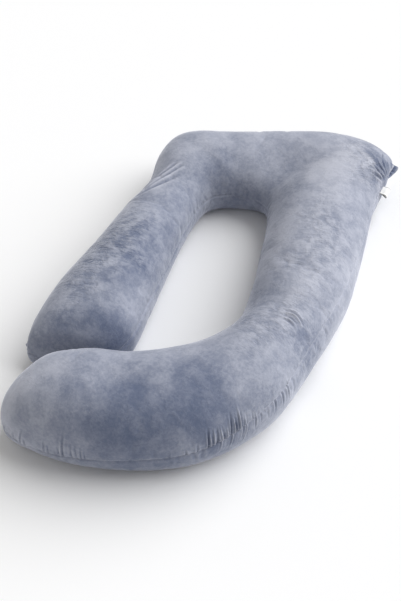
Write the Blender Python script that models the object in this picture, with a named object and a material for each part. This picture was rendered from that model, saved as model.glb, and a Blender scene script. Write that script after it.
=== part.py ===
"""Pregnancy pillow: a long filled body pillow, bent into a hook with a straight left arm,
a wide head and a right arm that curls round at the foot. The cover is a top and a bottom
panel sewn together at mid height, with a gathered corner that stands out as an ear, and a
bare care label sewn into the seam below it. X runs across, +Y towards the head, +Z up."""

import math
from collections import namedtuple

import bmesh
import bpy
from mathutils import Vector

# Driving dimensions, in metres
WIDEST = 0.42              # height of a section's widest line, as a share of its crown
CROWN_WIDTH = 0.80         # how full a section's shoulders are, less is squarer
CROWN_RISE = 0.92          # how flat its top is, less is flatter
BELLY_WIDTH = 0.62         # how full it is below its widest line, less is squarer
BELLY_DROP = 1.18          # how far its round belly would hang below the floor, in belly heights
UPPER_POINTS = 13          # points between the seam lips, over the crown
LOWER_POINTS = 9           # points between the seam lips, under the pillow
SEAM_DEPTH = 0.007         # how deep the sewn line is drawn in
SEAM_LIP = 0.010           # from the sewn line to the edge of its channel
SEAM_PAIR = 0.95           # heights of the outer and inner seams add up to this share

EAR_SIDES = 12
EAR_SQUARE = 0.7           # how square the ear's sections are, less is squarer
EAR_CURL = 0.006           # how far the flap's edges turn up at its tip
EAR_LAYER = 0.0028         # thickness of each of the ear's two layers
EAR_SLIT = 0.010           # depth of the slit between its layers
EAR_SLIT_WIDTH = 0.8       # width of the slit, as a share of the tip

LABEL_THICK = 0.001
LABEL_WIDE = 0.038
LABEL_LONG = 0.020         # how far the folded label stands out of the seam
LABEL_FULL = 0.007         # how far its fold stays open
LABEL_DROP = 0.35          # how steeply it hangs
LABEL_ENDS = 0.0006        # gap between its two sewn ends
LABEL_SEAT = 0.0033        # from the bottom of the seam channel to the label's sewn ends
LABEL_STEPS = 14
LABEL_AT = 0.60            # its place on the way from "corner right c" to "right top"

# Sections of the pillow, from the end of the left arm round the head to the end of the foot.
# inner and outer are the section's two edges in plan, crown and underside its heights, seam
# the outer seam's share of the way from underside to crown, and cuts how many sections are
# made for each metre from here to the next row.
Section = namedtuple("Section", "name inner_x inner_y outer_x outer_y crown underside seam cuts")
SECTIONS = [Section(*row) for row in (
    ("arm end",        -0.268, -0.376, -0.384, -0.396, 0.092, 0.056, 0.50, 60),
    ("arm end b",      -0.232, -0.368, -0.402, -0.390, 0.125, 0.014, 0.50, 60),
    ("arm end c",      -0.172, -0.350, -0.410, -0.373, 0.165, 0.000, 0.42, 60),
    ("arm end d",      -0.134, -0.288, -0.408, -0.315, 0.200, 0.000, 0.40, 34),
    ("arm low",        -0.128, -0.170, -0.390, -0.191, 0.215, 0.000, 0.42, 30),
    ("arm mid",        -0.125, -0.020, -0.352, -0.030, 0.205, 0.000, 0.50, 30),
    ("arm top",        -0.120, 0.130, -0.312, 0.150, 0.195, 0.000, 0.50, 50),
    ("neck left",      -0.108, 0.250, -0.277, 0.290, 0.185, 0.000, 0.50, 90),
    ("corner left a",  -0.085, 0.315, -0.282, 0.420, 0.195, 0.000, 0.50, 60),
    ("corner left b",  -0.055, 0.338, -0.262, 0.515, 0.195, 0.000, 0.50, 40),
    ("corner left c",  -0.030, 0.348, -0.205, 0.560, 0.195, 0.000, 0.50, 34),
    ("head left",      -0.010, 0.352, -0.100, 0.592, 0.190, 0.000, 0.50, 30),
    ("head mid",       0.010, 0.354, 0.030, 0.630, 0.190, 0.000, 0.50, 30),
    ("head right",     0.030, 0.352, 0.150, 0.662, 0.190, 0.000, 0.50, 34),
    ("corner right a", 0.050, 0.348, 0.280, 0.683, 0.190, 0.000, 0.50, 44),
    ("corner right b", 0.073, 0.335, 0.402, 0.652, 0.190, 0.000, 0.50, 80),
    ("corner right c", 0.097, 0.300, 0.431, 0.545, 0.205, 0.000, 0.50, 60),
    ("right top",      0.112, 0.220, 0.407, 0.385, 0.210, 0.000, 0.50, 32),
    ("right mid",      0.120, 0.100, 0.404, 0.175, 0.215, 0.000, 0.59, 32),
    ("right low",      0.130, -0.040, 0.391, -0.045, 0.220, 0.000, 0.71, 40),
    ("bend a",         0.120, -0.190, 0.339, -0.252, 0.225, 0.000, 0.68, 44),
    ("bend b",         0.060, -0.285, 0.276, -0.443, 0.235, 0.000, 0.61, 84),
    ("bend c",         -0.020, -0.340, 0.138, -0.596, 0.240, 0.000, 0.46, 84),
    ("foot mid",       -0.110, -0.382, -0.030, -0.665, 0.245, 0.000, 0.39, 84),
    ("foot low",       -0.200, -0.395, -0.190, -0.684, 0.240, 0.000, 0.33, 50),
    ("foot end a",     -0.288, -0.424, -0.308, -0.664, 0.215, 0.000, 0.28, 60),
    ("foot end b",     -0.340, -0.468, -0.366, -0.638, 0.170, 0.000, 0.34, 60),
    ("foot end c",     -0.366, -0.510, -0.387, -0.604, 0.128, 0.012, 0.44, 60),
    ("foot end",       -0.376, -0.535, -0.391, -0.580, 0.090, 0.050, 0.50, 60),
)]

# Wide hollows pressed into the crown
Hollow = namedtuple("Hollow", "name x y reach_x reach_y depth")
HOLLOWS = [Hollow(*row) for row in (
    ("head",  0.110, 0.440, 0.110, 0.100, 0.018),
    ("knee",  0.200, -0.165, 0.080, 0.060, 0.012),
    ("heel", -0.090, -0.530, 0.090, 0.060, 0.009),
)]

# Main creases of the cover, as soft troughs from one point in plan to another
Crease = namedtuple("Crease", "name from_x from_y to_x to_y half_width depth")
CREASES = [Crease(*row) for row in (
    ("corner low",   -0.275, 0.270, -0.185, 0.312, 0.015, 0.010),
    ("corner mid",   -0.276, 0.303, -0.192, 0.363, 0.015, 0.011),
    ("corner high",  -0.278, 0.340, -0.205, 0.422, 0.016, 0.009),
    ("ear up",       0.405, 0.610, 0.315, 0.625, 0.014, 0.007),
    ("ear middle",   0.405, 0.590, 0.305, 0.560, 0.014, 0.009),
    ("ear down",     0.410, 0.570, 0.335, 0.490, 0.014, 0.007),
    ("knee upper",   0.235, -0.150, 0.300, -0.205, 0.014, 0.006),
    ("knee lower",   0.225, -0.182, 0.285, -0.235, 0.014, 0.006),
)]
CREASE_FADE = 0.2          # how far a trough runs out past its ends, as a share of its length
RIDGE_AWAY = 1.9           # where the ridges beside a trough stand, in half widths
RIDGE_SHARE = 0.45         # their height, as a share of the trough's depth

# Puckers where the curved foot seam is gathered
PUCKER_FROM = "bend b"
PUCKER_TO = "foot low"
PUCKER_COUNT = 11
PUCKER_DEPTH = 0.004
PUCKER_REACH = 0.035       # how far they run from the seam

# The line where the ear begins, which draws the gathered cover in round it
PINCH_NEAR = (0.428, 0.548, 0.096)
PINCH_FAR = (0.447, 0.622, 0.101)
PINCH_REACH = 0.070
PINCH_PULL = 0.62

# The ear, from inside the corner to its tip
Flap = namedtuple("Flap", "name x y z width thickness")
EAR = [Flap(*row) for row in (
    ("root",  0.392, 0.574, 0.096, 0.084, 0.044),
    ("neck",  0.424, 0.581, 0.098, 0.074, 0.026),
    ("flap",  0.443, 0.588, 0.095, 0.056, 0.014),
    ("tip",   0.460, 0.593, 0.089, 0.050, 0.009),
)]

VELVET = (0.44, 0.47, 0.55)
RIBBON = (0.93, 0.93, 0.92)


def fabric(name, colour, roughness):
    """A plain cloth material in the real piece's colour."""
    material = bpy.data.materials.new(name)
    material.use_nodes = True
    shader = material.node_tree.nodes["Principled BSDF"]
    shader.inputs["Base Color"].default_value = (*colour, 1.0)
    shader.inputs["Roughness"].default_value = roughness
    shader.inputs["Metallic"].default_value = 0.0
    return material


def add_object(name, points, faces, material):
    """An object from points and faces, with its faces pointing out."""
    mesh = bpy.data.meshes.new(name)
    mesh.from_pydata(points, [], faces)
    shape = bmesh.new()
    shape.from_mesh(mesh)
    bmesh.ops.recalc_face_normals(shape, faces=shape.faces)
    shape.to_mesh(mesh)
    shape.free()
    mesh.materials.append(material)
    mesh.shade_smooth()
    mesh.set_sharp_from_angle(angle=math.radians(50))
    made = bpy.data.objects.new(name, mesh)
    bpy.context.scene.collection.objects.link(made)
    return made


def skin(rings, count):
    """Four-sided faces between each ring of points and the next, counted in order."""
    faces = []
    for ring in range(rings - 1):
        for step in range(count):
            here = ring * count + step
            beside = ring * count + (step + 1) % count
            faces.append((here, beside, beside + count, here + count))
    return faces


def rounded(value, power):
    """A sine or cosine raised to a power, with its sign kept."""
    return math.copysign(abs(value) ** power, value)


def curve_value(before, here, after, beyond, share):
    """One value of a smooth curve that runs from here to after."""
    straight = (after - before) * share
    bend = (2 * before - 5 * here + 4 * after - beyond) * share ** 2
    turn = (3 * here - before - 3 * after + beyond) * share ** 3
    return here + 0.5 * (straight + bend + turn)


def section_at(place):
    """The section at a place along the table, where 0 is its first row."""
    last = len(SECTIONS) - 1
    row = min(int(place), last - 1)
    here = SECTIONS[row]
    after = SECTIONS[row + 1]
    values = [here.name]
    for column in range(1, len(here)):
        before = SECTIONS[row - 1][column] if row > 0 else 2 * here[column] - after[column]
        beyond = (SECTIONS[row + 2][column] if row + 2 <= last
                  else 2 * after[column] - here[column])
        values.append(curve_value(before, here[column], after[column], beyond, place - row))
    section = Section(*values)
    return section._replace(underside=max(0.0, section.underside))


def place_of(name):
    """The place of a named section along the table."""
    return [section.name for section in SECTIONS].index(name)


def seam_angle(share):
    """The angle at which a section's outline stands at this share of its height."""
    if share >= WIDEST:
        return math.asin(((share - WIDEST) / (1 - WIDEST)) ** (1 / CROWN_RISE))
    return -math.asin((WIDEST - share) / (WIDEST * BELLY_DROP))


def section_point(section, angle):
    """A point of the section's outline: angle 0 is its outer edge, a quarter turn its crown."""
    inner = Vector((section.inner_x, section.inner_y))
    outer = Vector((section.outer_x, section.outer_y))
    belly = (section.crown - section.underside) * WIDEST
    widest = section.underside + belly
    up = math.sin(angle)
    if up >= 0:
        side = rounded(math.cos(angle), CROWN_WIDTH)
        height = widest + (section.crown - widest) * up ** CROWN_RISE
    else:
        side = rounded(math.cos(angle), BELLY_WIDTH)
        height = max(section.underside, widest + belly * BELLY_DROP * up)
    plan = (inner + outer) / 2 + (outer - inner) / 2 * side
    return Vector((plan.x, plan.y, height))


def pinched(point):
    """A point of the cover, drawn in towards the line where the ear begins."""
    near = Vector(PINCH_NEAR)
    line = Vector(PINCH_FAR) - near
    share = min(1.0, max(0.0, (point - near).dot(line) / line.length_squared))
    pull = near + line * share - point
    return point + pull * (PINCH_PULL * math.exp(-(pull.length / PINCH_REACH) ** 2))


def section_angles(section):
    """The angles round one section, from the outer seam over the crown and back below,
    each marked where it is a sewn line."""
    lip = SEAM_LIP / (0.6 * section.crown)
    outer = seam_angle(section.seam)
    inner = math.pi - seam_angle(SEAM_PAIR - section.seam)
    angles = [(outer, True)]
    for step in range(UPPER_POINTS + 2):
        share = step / (UPPER_POINTS + 1)
        angles.append((outer + lip + (inner - outer - 2 * lip) * share, False))
    angles.append((inner, True))
    below = outer + 2 * math.pi - inner
    for step in range(LOWER_POINTS + 2):
        share = step / (LOWER_POINTS + 1)
        angles.append((inner + lip + (below - 2 * lip) * share, False))
    return angles


def hollow_depth(x, y):
    """How far the wide hollows press the crown down here."""
    depth = 0.0
    for hollow in HOLLOWS:
        away = ((x - hollow.x) / hollow.reach_x) ** 2 + ((y - hollow.y) / hollow.reach_y) ** 2
        depth += hollow.depth * math.exp(-away)
    return depth


def crease_depth(x, y):
    """How deep the creases' troughs are here, less the soft ridges beside them."""
    depth = 0.0
    for crease in CREASES:
        run = Vector((crease.to_x - crease.from_x, crease.to_y - crease.from_y))
        here = Vector((x - crease.from_x, y - crease.from_y))
        along = here.dot(run) / run.length_squared
        if not -CREASE_FADE < along < 1 + CREASE_FADE:
            continue
        off = (here - run * along).length / crease.half_width
        fade = math.sin(math.pi * (along + CREASE_FADE) / (1 + 2 * CREASE_FADE))
        trough = math.exp(-off ** 2) - RIDGE_SHARE * math.exp(-(off - RIDGE_AWAY) ** 2)
        depth += crease.depth * fade * trough
    return depth


def pucker_depth(place, from_seam):
    """How deep the puckers across the foot seam are at this place and distance from it."""
    start = place_of(PUCKER_FROM)
    end = place_of(PUCKER_TO)
    if not start < place < end:
        return 0.0
    share = (place - start) / (end - start)
    wave = 0.5 - 0.5 * math.cos(2 * math.pi * PUCKER_COUNT * share)
    fade = math.sin(math.pi * share) * math.exp(-(from_seam / PUCKER_REACH) ** 2)
    return PUCKER_DEPTH * wave * fade


def build_ring(place):
    """The points of one section, with its seams, hollows, creases and puckers."""
    section = section_at(place)
    angles = section_angles(section)
    middle = Vector(((section.inner_x + section.outer_x) / 2,
                     (section.inner_y + section.outer_y) / 2,
                     section.crown * WIDEST))
    seam = pinched(section_point(section, angles[0][0]))
    ring = []
    for angle, sewn in angles:
        point = pinched(section_point(section, angle))
        inward = (middle - point).normalized()
        raised = max(0.0, math.sin(angle))
        press = hollow_depth(point.x, point.y) * raised
        depth = crease_depth(point.x, point.y) * min(1.0, 2.5 * raised)
        if point.z > section.underside + PUCKER_DEPTH:
            depth += pucker_depth(place, (point - seam).length)
        if sewn:
            depth += SEAM_DEPTH
        point += inward * depth
        point.z -= press
        ring.append(point)
    return ring


def ring_places():
    """Places of the sections, evenly along the outer side of each stretch."""
    places = [0.0]
    for row in range(len(SECTIONS) - 1):
        here = SECTIONS[row]
        after = SECTIONS[row + 1]
        length = math.hypot(after.outer_x - here.outer_x, after.outer_y - here.outer_y)
        steps = max(2, round(length * here.cuts))
        places += [row + step / steps for step in range(1, steps + 1)]
    return places


def build_pillow(material):
    """The filled cover: its sections skinned from end to end and closed at both ends."""
    rings = [build_ring(place) for place in ring_places()]
    count = len(rings[0])
    points = [point for ring in rings for point in ring]
    faces = skin(len(rings), count)
    for start in (0, len(points) - count):
        centre = len(points)
        points.append(sum(points[start:start + count], Vector()) / count)
        for step in range(count):
            faces.append((start + step, start + (step + 1) % count, centre))
    return add_object("pillow", points, faces, material)


def build_ear(material):
    """The unfilled gathered corner: two layers of the cover pressed flat, with the slit
    between them sunk into the tip."""
    root = Vector((EAR[0].x, EAR[0].y, EAR[0].z))
    tip = Vector((EAR[-1].x, EAR[-1].y, EAR[-1].z))
    forward = (tip - root).normalized()
    sideways = Vector((0, 0, 1)).cross(forward).normalized()
    upward = forward.cross(sideways)
    points = []
    for flap in EAR:
        out = (flap.x - root.x) / (tip.x - root.x)
        for side in range(EAR_SIDES):
            angle = 2 * math.pi * side / EAR_SIDES
            spread = rounded(math.cos(angle), EAR_SQUARE)
            rise = rounded(math.sin(angle), EAR_SQUARE)
            middle = Vector((flap.x, flap.y, flap.z + EAR_CURL * out * spread ** 2))
            points.append(middle + sideways * (flap.width / 2 * spread)
                          + upward * (flap.thickness / 2 * rise))
    rim = points[-EAR_SIDES:]
    bow = 1 - 2 * EAR_LAYER / EAR[-1].thickness
    for side, edge in enumerate(rim):
        facing = rim[-side % EAR_SIDES]
        middle = (edge + facing) / 2
        inset = (middle - tip).dot(sideways) * (1 - EAR_SLIT_WIDTH)
        points.append(middle + (edge - middle) * bow - sideways * inset - forward * EAR_SLIT)
    faces = skin(len(EAR) + 1, EAR_SIDES)
    faces.append(tuple(range(EAR_SIDES)))
    faces.append(tuple(range(len(points) - EAR_SIDES, len(points))))
    return add_object("ear", points, faces, material)


def join_ear(pillow, ear):
    """Joins the ear to the cover as one body, and removes the loose ear."""
    union = pillow.modifiers.new("ear", "BOOLEAN")
    union.operation = "UNION"
    union.solver = "EXACT"
    union.object = ear
    graph = bpy.context.evaluated_depsgraph_get()
    joined = bpy.data.meshes.new_from_object(pillow.evaluated_get(graph))
    pillow.modifiers.clear()
    pillow.data = joined
    pillow.data.name = "pillow"
    bpy.data.objects.remove(ear, do_unlink=True)


def label_outline():
    """The folded ribbon seen from its end, as reach out of the seam and rise: its outer
    face from one sewn end round the fold to the other, then its inner face back."""
    line = []
    for step in range(LABEL_STEPS + 1):
        angle = math.pi * (step / LABEL_STEPS - 0.5)
        reach = LABEL_LONG * max(0.0, math.cos(angle)) ** 0.6
        belly = LABEL_FULL * math.sin(0.8 * math.pi * reach / LABEL_LONG)
        rise = 0.5 * math.sin(angle) * (LABEL_THICK + LABEL_ENDS + belly)
        line.append(Vector((reach, rise)))
    outside = []
    inside = []
    for number, point in enumerate(line):
        run = line[min(number + 1, LABEL_STEPS)] - line[max(number - 1, 0)]
        normal = Vector((run.y, -run.x)).normalized() * (LABEL_THICK / 2)
        outside.append(point + normal)
        inside.append(point - normal)
    return outside + inside[::-1]


def build_label(material):
    """The care label: a ribbon folded double, its two ends in the seam channel and its
    fold hanging out, a little open."""
    place = place_of("corner right c") + LABEL_AT
    section = section_at(place)
    angle = seam_angle(section.seam)
    seam = pinched(section_point(section, angle))
    ahead = pinched(section_point(section_at(place + 0.05), angle))
    along = (ahead - seam).normalized()
    outward = Vector((-along.y, along.x, 0)).normalized()
    start = seam - outward * (SEAM_DEPTH - LABEL_SEAT)
    outline = label_outline()
    points = []
    for end in (-0.5, 0.5):
        for reach, rise in outline:
            point = start + along * (LABEL_WIDE * end) + outward * reach
            out = max(0.0, reach) / LABEL_LONG
            point.z += rise - LABEL_DROP * LABEL_LONG * out ** 1.5
            points.append(point)
    count = len(outline)
    faces = skin(2, count)
    for first in (0, count):
        for step in range(LABEL_STEPS):
            facing = first + count - 1 - step
            faces.append((first + step, first + step + 1, facing - 1, facing))
    return add_object("care_label", points, faces, material)


def centre_on_floor(objects):
    """Moves all the pieces together so that the origin is under the middle of their box."""
    corners = [point.co for made in objects for point in made.data.vertices]
    low = Vector([min(corner[axis] for corner in corners) for axis in range(3)])
    high = Vector([max(corner[axis] for corner in corners) for axis in range(3)])
    shift = Vector((-(low.x + high.x) / 2, -(low.y + high.y) / 2, -low.z))
    for made in objects:
        for point in made.data.vertices:
            point.co += shift


def main():
    for old in list(bpy.data.objects):
        bpy.data.objects.remove(old, do_unlink=True)
    velvet = fabric("velvet", VELVET, 0.85)
    ribbon = fabric("ribbon", RIBBON, 0.6)
    pillow = build_pillow(velvet)
    ear = build_ear(velvet)
    join_ear(pillow, ear)
    label = build_label(ribbon)
    centre_on_floor((pillow, label))


main()
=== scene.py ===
"""Pregnancy pillow in crushed velvet: a long filled pillow bent round a channel for the body."""

import math
from collections import namedtuple

import bpy
import numpy as np
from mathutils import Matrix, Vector


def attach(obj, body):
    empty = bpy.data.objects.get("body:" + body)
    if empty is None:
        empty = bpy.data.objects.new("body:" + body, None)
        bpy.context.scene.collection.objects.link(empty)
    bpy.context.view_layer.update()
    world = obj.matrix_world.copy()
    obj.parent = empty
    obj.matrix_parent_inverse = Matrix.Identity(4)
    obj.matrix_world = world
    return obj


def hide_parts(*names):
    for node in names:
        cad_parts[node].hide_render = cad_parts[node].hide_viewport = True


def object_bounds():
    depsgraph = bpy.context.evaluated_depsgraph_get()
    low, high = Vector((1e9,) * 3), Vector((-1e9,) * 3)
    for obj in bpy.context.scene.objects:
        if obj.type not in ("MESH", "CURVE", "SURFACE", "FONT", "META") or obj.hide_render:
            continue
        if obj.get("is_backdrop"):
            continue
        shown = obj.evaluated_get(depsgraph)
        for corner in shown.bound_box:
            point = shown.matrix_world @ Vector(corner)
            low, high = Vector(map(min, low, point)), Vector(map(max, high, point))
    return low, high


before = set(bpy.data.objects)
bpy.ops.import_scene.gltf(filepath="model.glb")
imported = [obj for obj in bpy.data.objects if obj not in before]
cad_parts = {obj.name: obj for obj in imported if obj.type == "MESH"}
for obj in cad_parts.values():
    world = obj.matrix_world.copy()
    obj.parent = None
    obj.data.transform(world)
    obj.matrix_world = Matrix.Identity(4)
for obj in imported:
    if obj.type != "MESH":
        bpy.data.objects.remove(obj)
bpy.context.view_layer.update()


# The pillow: a top and a bottom panel of velvet, cut to one long curved outline, sewn
# together right sides in, turned out through a gap and filled, so that the seam draws in
# at mid height and its curved stretches pucker.

# rings of points along the cover, the points on each half of a ring, and how much closer
# they stand near the seams and where a seam puckers
RINGS = 560
AROUND_HALF = 34
SEAM_CROWD = 0.62
PUCKER_CROWD = 1.2
INNER_SHARE = 0.5
FINE_PLACES = 4000
# a ring's outline: how high up it is widest, how full its crown and belly are, and what
# the shares of the outer and the inner seam's heights add up to
WIDEST = 0.42
CROWN_WIDTH = 0.80
CROWN_RISE = 0.92
BELLY_WIDTH = 0.62
BELLY_DROP = 1.18
SEAM_PAIR = 0.95

# inner and outer are a section's two edges in plan, crown and underside its heights, seam
# the outer seam's share of the way up, and pucker how hard its seam is gathered there
Section = namedtuple("Section", "name inner_x inner_y outer_x outer_y crown underside seam pucker")
SECTIONS = [Section(*row) for row in (
    ("arm seam",       -0.290, -0.382, -0.372, -0.398, 0.077, 0.071, 0.50, 0.3),
    ("arm end",        -0.268, -0.376, -0.386, -0.396, 0.094, 0.054, 0.50, 0.3),
    ("arm end b",      -0.232, -0.368, -0.402, -0.390, 0.125, 0.014, 0.50, 0.4),
    ("arm end c",      -0.172, -0.350, -0.410, -0.373, 0.165, 0.000, 0.42, 0.4),
    ("arm end d",      -0.134, -0.288, -0.408, -0.315, 0.200, 0.000, 0.40, 0.3),
    ("arm low",        -0.128, -0.170, -0.390, -0.191, 0.215, 0.000, 0.42, 0.2),
    ("arm mid",        -0.125, -0.020, -0.352, -0.030, 0.205, 0.000, 0.50, 0.2),
    ("arm top",        -0.120, 0.130, -0.312, 0.150, 0.195, 0.000, 0.50, 0.3),
    ("neck left",      -0.108, 0.250, -0.277, 0.290, 0.185, 0.000, 0.50, 0.6),
    ("corner left a",  -0.085, 0.315, -0.282, 0.420, 0.195, 0.000, 0.50, 0.5),
    ("corner left b",  -0.055, 0.338, -0.262, 0.515, 0.195, 0.000, 0.50, 0.5),
    ("corner left c",  -0.030, 0.348, -0.205, 0.560, 0.195, 0.000, 0.50, 0.4),
    ("head left",      -0.010, 0.352, -0.100, 0.592, 0.190, 0.000, 0.50, 0.2),
    ("head mid",       0.010, 0.354, 0.030, 0.630, 0.190, 0.000, 0.50, 0.2),
    ("head right",     0.030, 0.352, 0.150, 0.662, 0.190, 0.000, 0.50, 0.2),
    ("corner right a", 0.050, 0.348, 0.280, 0.683, 0.190, 0.000, 0.50, 0.4),
    ("corner right b", 0.073, 0.335, 0.402, 0.652, 0.190, 0.000, 0.50, 0.7),
    ("corner right c", 0.097, 0.300, 0.431, 0.545, 0.205, 0.000, 0.50, 0.8),
    ("right top",      0.112, 0.220, 0.407, 0.385, 0.210, 0.000, 0.50, 0.3),
    ("right mid",      0.120, 0.100, 0.404, 0.175, 0.215, 0.000, 0.59, 0.2),
    ("right low",      0.130, -0.040, 0.391, -0.045, 0.220, 0.000, 0.71, 0.2),
    ("bend a",         0.120, -0.190, 0.339, -0.252, 0.225, 0.000, 0.68, 0.3),
    ("bend b",         0.060, -0.285, 0.276, -0.443, 0.235, 0.000, 0.61, 0.9),
    ("bend c",         -0.020, -0.340, 0.138, -0.596, 0.240, 0.000, 0.46, 1.0),
    ("foot mid",       -0.110, -0.382, -0.030, -0.665, 0.245, 0.000, 0.39, 0.4),
    ("foot low",       -0.200, -0.395, -0.190, -0.684, 0.240, 0.000, 0.33, 0.5),
    ("foot end a",     -0.288, -0.424, -0.308, -0.664, 0.215, 0.000, 0.28, 0.7),
    ("foot end b",     -0.340, -0.468, -0.366, -0.638, 0.170, 0.000, 0.34, 0.6),
    ("foot end c",     -0.366, -0.510, -0.387, -0.604, 0.128, 0.012, 0.44, 0.5),
    ("foot end",       -0.377, -0.535, -0.392, -0.580, 0.092, 0.048, 0.50, 0.3),
    ("foot seam",      -0.380, -0.544, -0.393, -0.572, 0.073, 0.067, 0.50, 0.3),
)]
INNER_X, INNER_Y, OUTER_X, OUTER_Y, CROWN, UNDERSIDE, SEAM, PUCKER = range(8)
# carries the table's plan to where the pillow lies, with its box centred on the floor
CENTRE = np.array([-0.02815, 0.00031, 0.0])


def place_of(name):
    """The place of a named section along the table."""
    return [section.name for section in SECTIONS].index(name)


def sections_at(places):
    """The section values at these places along the table, on smooth curves."""
    rows = np.array([section[1:] for section in SECTIONS])
    rows = np.vstack([2 * rows[0] - rows[1], rows, 2 * rows[-1] - rows[-2]])
    first = np.clip(places.astype(int), 0, len(SECTIONS) - 2)
    share = (places - first)[:, None]
    before, here, after, beyond = (rows[first + step] for step in range(4))
    straight = (after - before) * share
    bend = (2 * before - 5 * here + 4 * after - beyond) * share ** 2
    turn = (3 * here - before - 3 * after + beyond) * share ** 3
    values = here + 0.5 * (straight + bend + turn)
    values[:, UNDERSIDE] = np.maximum(values[:, UNDERSIDE], 0)
    return values


def seam_angles(share):
    """The angle at which a section's outline stands at this share of its height."""
    above = np.arcsin(np.clip((share - WIDEST) / (1 - WIDEST), 0, 1) ** (1 / CROWN_RISE))
    below = -np.arcsin(np.clip((WIDEST - share) / (WIDEST * BELLY_DROP), 0, 1))
    return np.where(share >= WIDEST, above, below)


def ring_places():
    """Places of the rings: even steps along the outer side, closer where the seam puckers."""
    fine = np.linspace(0, len(SECTIONS) - 1, FINE_PLACES)
    values = sections_at(fine)
    steps = np.hypot(np.diff(values[:, OUTER_X]), np.diff(values[:, OUTER_Y]))
    steps += INNER_SHARE * np.hypot(np.diff(values[:, INNER_X]), np.diff(values[:, INNER_Y]))
    steps *= 1 + PUCKER_CROWD * values[1:, PUCKER]
    gone = np.concatenate([[0], np.cumsum(steps)])
    return np.interp(np.linspace(0, gone[-1], RINGS), gone, fine)


def cover_points(places):
    """The points of each ring: from the outer seam over the crown to the inner seam, then
    back below, closer together near the seams."""
    values = sections_at(places)
    inner = values[:, None, INNER_X:OUTER_X]
    outer = values[:, None, OUTER_X:CROWN]
    crown, underside = values[:, CROWN, None], values[:, UNDERSIDE, None]
    out_seam = seam_angles(values[:, SEAM])[:, None]
    in_seam = np.pi - seam_angles(SEAM_PAIR - values[:, SEAM])[:, None]
    share = np.arange(AROUND_HALF) / AROUND_HALF
    share = share - SEAM_CROWD * np.sin(2 * np.pi * share) / (2 * np.pi)
    over = out_seam + (in_seam - out_seam) * share
    under = in_seam + (out_seam + 2 * np.pi - in_seam) * share
    angle = np.hstack([over, under])
    across, up = np.cos(angle), np.sin(angle)
    belly = (crown - underside) * WIDEST
    side = np.sign(across) * np.abs(across) ** np.where(up >= 0, CROWN_WIDTH, BELLY_WIDTH)
    rise = np.abs(up) ** np.where(up >= 0, CROWN_RISE, 1)
    top = underside + belly + (crown - underside - belly) * rise
    bottom = np.maximum(underside, underside + belly - belly * BELLY_DROP * rise)
    plan = (inner + outer) / 2 + (outer - inner) / 2 * side[:, :, None]
    return np.dstack([plan, np.where(up >= 0, top, bottom)]) + CENTRE


# Where the gathered corner draws the cover in towards the line where its ear begins
PINCH_NEAR = np.array([0.428, 0.548, 0.096])
PINCH_FAR = np.array([0.447, 0.622, 0.101])
PINCH_REACH = 0.070
PINCH_PULL = 0.62


def to_ear_line(points):
    """From each point to the nearest place of the line where the ear begins."""
    line = PINCH_FAR - PINCH_NEAR
    share = np.clip((points - CENTRE - PINCH_NEAR) @ line / (line @ line), 0, 1)
    return PINCH_NEAR + CENTRE + share[..., None] * line - points


def pinched(points):
    """The cover's points, drawn in round the gathered corner."""
    pull = to_ear_line(points)
    gap = np.linalg.norm(pull, axis=-1, keepdims=True)
    return points + pull * PINCH_PULL * np.exp(-(gap / PINCH_REACH) ** 2)


def select_only(piece):
    """Selects this piece alone and makes it active."""
    bpy.ops.object.select_all(action="DESELECT")
    piece.select_set(True)
    bpy.context.view_layer.objects.active = piece


def store(mesh, name, values):
    """Keeps one value a point in the mesh, under this name."""
    layer = mesh.attributes.new(name, "FLOAT", "POINT")
    layer.data.foreach_set("value", np.asarray(values, np.float32).ravel())


def stored(mesh, name):
    """The values kept in the mesh under this name."""
    layer = mesh.attributes[name].data
    values = np.empty(len(layer), np.float32)
    layer.foreach_get("value", values)
    return values.astype(float)


def points_of(mesh):
    """A mesh's points as an array."""
    flat = np.empty(len(mesh.vertices) * 3, np.float32)
    mesh.vertices.foreach_get("co", flat)
    return flat.reshape(-1, 3).astype(float)


def normals_of(mesh):
    """The outward direction at each point of a mesh."""
    flat = np.empty(len(mesh.vertices) * 3, np.float32)
    mesh.vertex_normals.foreach_get("vector", flat)
    return flat.reshape(-1, 3).astype(float)


def set_points(mesh, points):
    """Moves a mesh's points to these places, never below the floor."""
    points = points.copy()
    points[:, 2] = np.maximum(points[:, 2], 0)
    mesh.vertices.foreach_set("co", points.astype(np.float32).ravel())
    mesh.update()


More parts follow.
